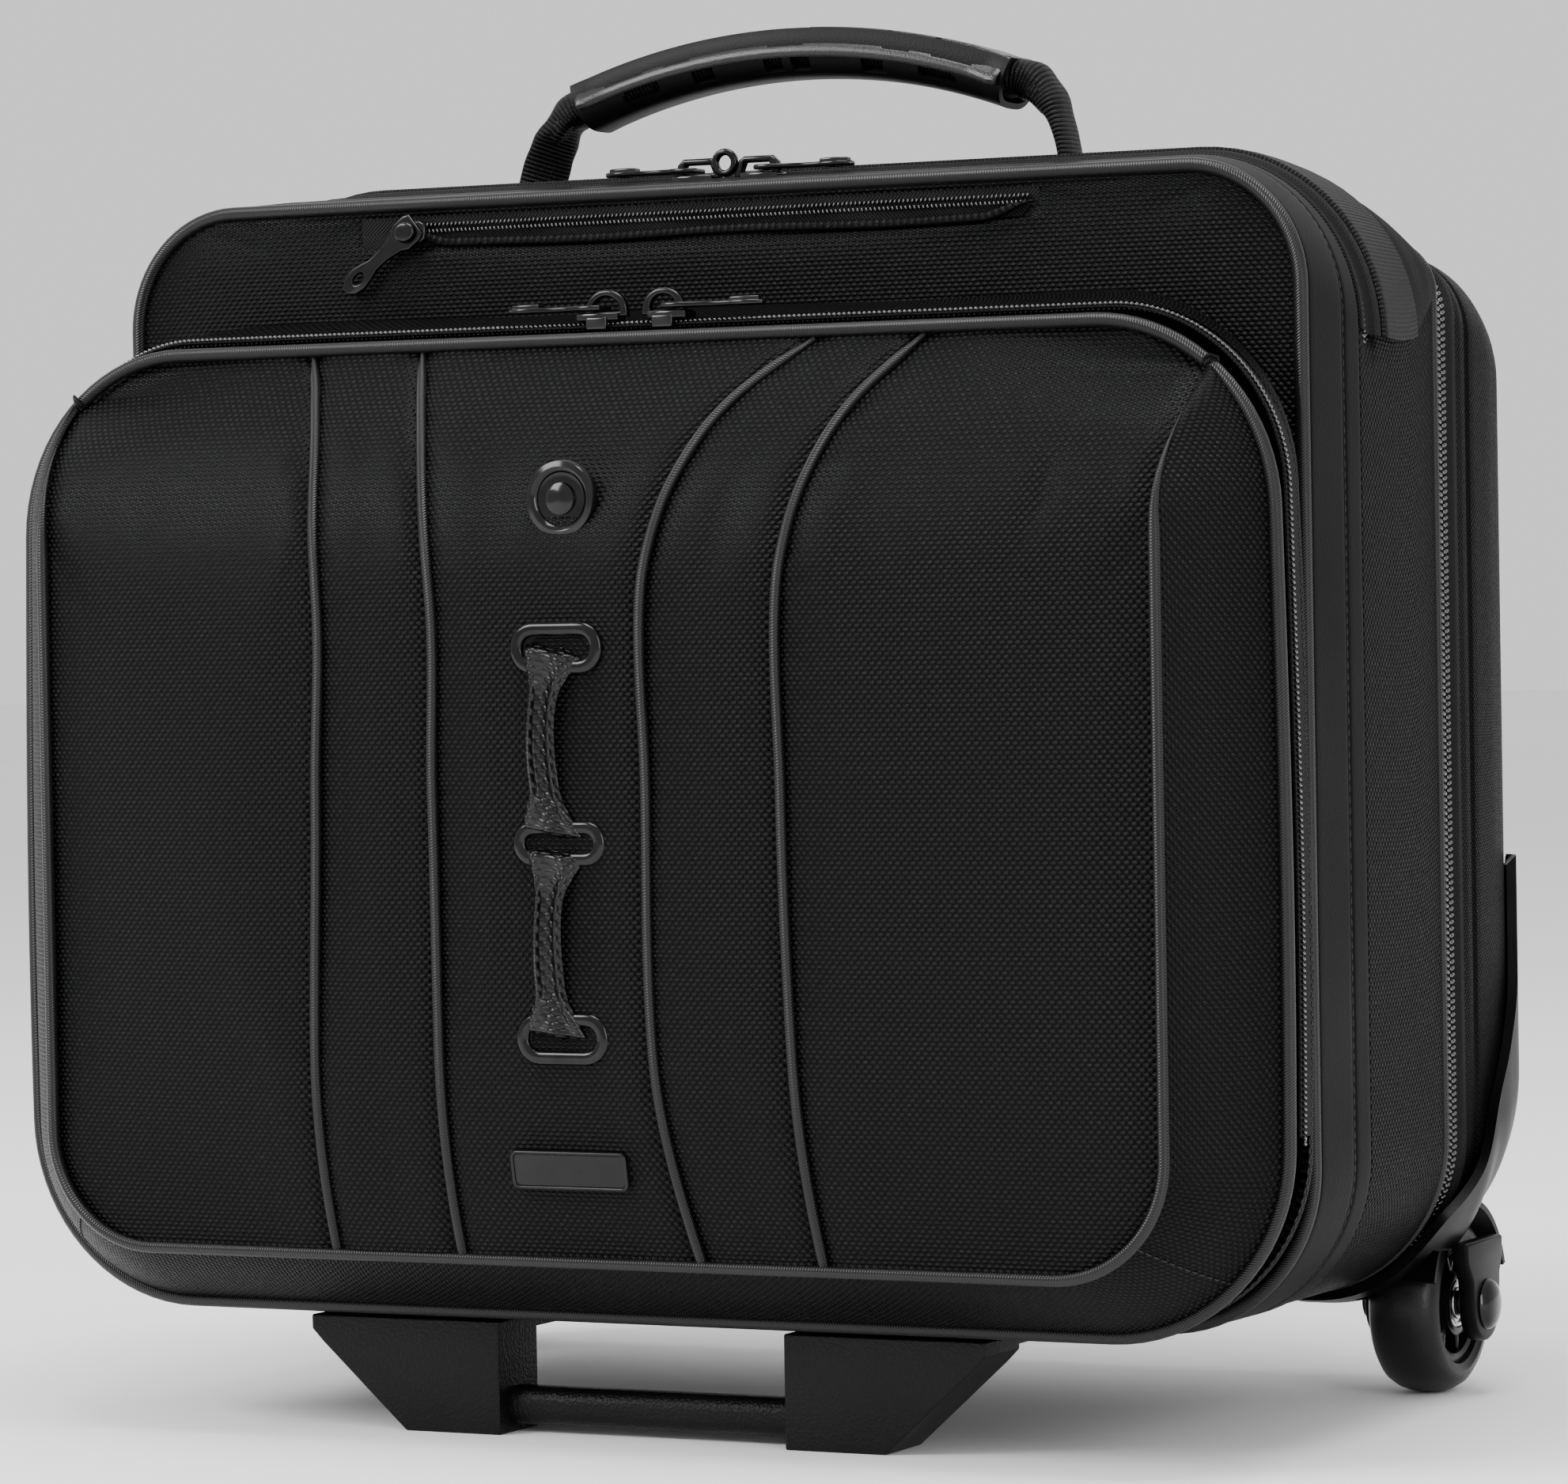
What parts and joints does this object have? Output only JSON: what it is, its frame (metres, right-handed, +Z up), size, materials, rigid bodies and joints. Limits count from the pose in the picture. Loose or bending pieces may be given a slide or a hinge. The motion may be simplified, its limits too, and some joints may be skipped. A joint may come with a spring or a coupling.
{
  "type": "rolling laptop case",
  "caption": "Soft black wheeled laptop case with a bulging front pocket, zipped sections, kickstand feet, carry handle and a telescopic trolley.",
  "frame": {"origin": "on the floor, under the middle of the whole case's box, with the wheels and feet standing on it", "axes": "+Z up, -Y out of the front pocket, +X to the right as seen from the front"},
  "size_m": [0.438, 0.284, 0.445],
  "materials": {
    "ballistic_nylon": "basket-woven ballistic nylon, faint cool sheen",
    "coarse_weave": "coarse woven polyester",
    "rear_nylon": "finer woven nylon",
    "coated_band": "smooth coated fabric with a fine grain",
    "piping": "satin woven piping",
    "zip_coil": "glossy coil on woven tape",
    "ribbed_webbing": "ribbed webbing",
    "lining": "plain woven lining over foam",
    "board": "plain moulded board",
    "foot_plastic": "pebbled moulded plastic",
    "guard_plastic": "satin moulded plastic",
    "grip_plastic": "satin moulded plastic",
    "grip_rubber": "soft moulded rubber",
    "button_plastic": "satin plastic",
    "tyre": "smooth polyurethane",
    "hub_plastic": "moulded nylon",
    "steel": "bright steel",
    "tube_aluminium": "anodised",
    "gunmetal": "glossy dark plating",
    "plate_metal": "satin dark plate",
    "strap_leather": "glossy leather with a small woven emboss"
  },
  "bodies": {
    "front_case": {"front_panel": "ballistic_nylon", "smooth_band": "coated_band", "woven_gusset": "coarse_weave", "main_zip": "zip_coil", "top_webbing": "ribbed_webbing", "rear_wall": "lining", "case_pipings": "piping", "top_pocket_zip": "zip_coil", "base_board": "board", "file_divider": "lining", "laptop_sleeve": "lining", "pocket_gusset": "coarse_weave", "pocket_zip": "zip_coil", "pocket_lower_panel": "ballistic_nylon", "lower_piping": "piping", "label_plate": "plate_metal", "foot_right": "foot_plastic", "foot_left": "foot_plastic", "foot_bar": "foot_plastic", "foot_screws": "steel"},
    "pocket_flap": {"pocket_flap_panel": "ballistic_nylon", "flap_piping": "piping", "badge": "gunmetal", "eyelets": "gunmetal", "front_strap": "strap_leather"},
    "rear_section": {"rear_shell": "rear_nylon", "rear_zip": "zip_coil", "rear_board": "board", "corner_guard_right": "guard_plastic", "corner_guard_left": "guard_plastic", "axles": "steel", "trolley_cup": "board", "tube_bracket": "board", "outer_tubes": "tube_aluminium"},
    "wheel_right": {"tyre_right": "tyre", "hub_right": "hub_plastic", "bearings_right": "steel"},
    "wheel_left": {"tyre_left": "tyre", "hub_left": "hub_plastic", "bearings_left": "steel"},
    "trolley_lower": {"middle_tubes": "tube_aluminium"},
    "trolley_upper": {"inner_tubes": "tube_aluminium", "trolley_grip_lower": "grip_plastic", "trolley_grip_upper": "grip_plastic"},
    "release_button": {"release_button": "button_plastic"},
    "carry_handle": {"handle_webbing": "ribbed_webbing", "grip_upper": "grip_plastic", "grip_lower": "grip_rubber"},
    "main_left_slider": {"main_left_slider": "gunmetal"},
    "main_left_pull": {"main_left_pull": "gunmetal"},
    "main_right_slider": {"main_right_slider": "gunmetal"},
    "main_right_pull": {"main_right_pull": "gunmetal"},
    "pocket_left_slider": {"pocket_left_slider": "gunmetal"},
    "pocket_left_pull": {"pocket_left_pull": "gunmetal"},
    "pocket_right_slider": {"pocket_right_slider": "gunmetal"},
    "pocket_right_pull": {"pocket_right_pull": "gunmetal"},
    "top_pocket_slider": {"top_pocket_slider": "gunmetal"},
    "top_pocket_pull": {"top_pocket_pull": "gunmetal"},
    "rear_slider": {"rear_slider": "gunmetal"},
    "rear_pull": {"rear_pull": "gunmetal"}
  },
  "joints": [
    {"name": "pocket_fold", "type": "hinge", "parent": "front_case", "child": "pocket_flap", "pos_m": [0, -0.1375, 0.097], "axis": [1, 0, 0], "range_deg": [0, 80]},
    {"name": "rear_opening", "type": "hinge", "parent": "front_case", "child": "rear_section", "pos_m": [0, 0.0643, 0.036], "axis": [-1, 0, 0], "range_deg": [0, 90]},
    {"name": "wheel_right_spin", "type": "hinge", "parent": "rear_section", "child": "wheel_right", "pos_m": [0.184, 0.104, 0.029], "axis": [1, 0, 0], "continuous": true},
    {"name": "wheel_left_spin", "type": "hinge", "parent": "rear_section", "child": "wheel_left", "pos_m": [-0.184, 0.104, 0.029], "axis": [1, 0, 0], "continuous": true},
    {"name": "trolley_lower_slide", "type": "slide", "parent": "rear_section", "child": "trolley_lower", "axis": [0, 0, 1], "range_m": [0, 0.25]},
    {"name": "trolley_upper_slide", "type": "slide", "parent": "trolley_lower", "child": "trolley_upper", "axis": [0, 0, 1], "range_m": [0, 0.25]},
    {"name": "button_press", "type": "slide", "parent": "trolley_upper", "child": "release_button", "axis": [0, 0, -1], "range_m": [0, 0.0025], "stiffness_N_per_m": 400},
    {"name": "handle_swing", "type": "hinge", "parent": "front_case", "child": "carry_handle", "pos_m": [0, 0.034, 0.4024], "axis": [1, 0, 0], "range_deg": [-50, 50]},
    {"name": "main_left_slide", "type": "slide", "parent": "front_case", "child": "main_left_slider", "axis": [-1, 0, 0], "range_m": [0, 0.13]},
    {"name": "main_left_pull_swing", "type": "hinge", "parent": "main_left_slider", "child": "main_left_pull", "pos_m": [-0.024, 0.004, 0.3984], "axis": [0, 1, 0], "range_deg": [0, 90]},
    {"name": "main_right_slide", "type": "slide", "parent": "front_case", "child": "main_right_slider", "axis": [1, 0, 0], "range_m": [0, 0.15]},
    {"name": "main_right_pull_swing", "type": "hinge", "parent": "main_right_slider", "child": "main_right_pull", "pos_m": [0, 0.004, 0.3984], "axis": [0, -1, 0], "range_deg": [0, 90]},
    {"name": "pocket_left_slide", "type": "slide", "parent": "front_case", "child": "pocket_left_slider", "axis": [-1, 0, 0], "range_m": [0, 0.13]},
    {"name": "pocket_left_pull_swing", "type": "hinge", "parent": "pocket_left_slider", "child": "pocket_left_pull", "pos_m": [-0.012, -0.083, 0.3506], "axis": [0, 1, 0], "range_deg": [0, 90]},
    {"name": "pocket_right_slide", "type": "slide", "parent": "front_case", "child": "pocket_right_slider", "axis": [1, 0, 0], "range_m": [0, 0.13]},
    {"name": "pocket_right_pull_swing", "type": "hinge", "parent": "pocket_right_slider", "child": "pocket_right_pull", "pos_m": [0.012, -0.083, 0.3506], "axis": [0, -1, 0], "range_deg": [0, 90]},
    {"name": "rear_slide", "type": "slide", "parent": "rear_section", "child": "rear_slider", "axis": [-1, 0, 0], "range_m": [0, 0.29]},
    {"name": "rear_pull_swing", "type": "hinge", "parent": "rear_slider", "child": "rear_pull", "pos_m": [0.15, 0.076, 0.3716], "axis": [0, 1, 0], "range_deg": [0, 90]},
    {"name": "top_pocket_slide", "type": "slide", "parent": "front_case", "child": "top_pocket_slider", "axis": [1, 0, 0], "range_m": [0, 0.2]},
    {"name": "top_pocket_pull_swing", "type": "hinge", "parent": "top_pocket_slider", "child": "top_pocket_pull", "pos_m": [-0.1, -0.0487, 0.3792], "axis": [0, -1, 0], "range_deg": [-40, 25]}
  ]
}
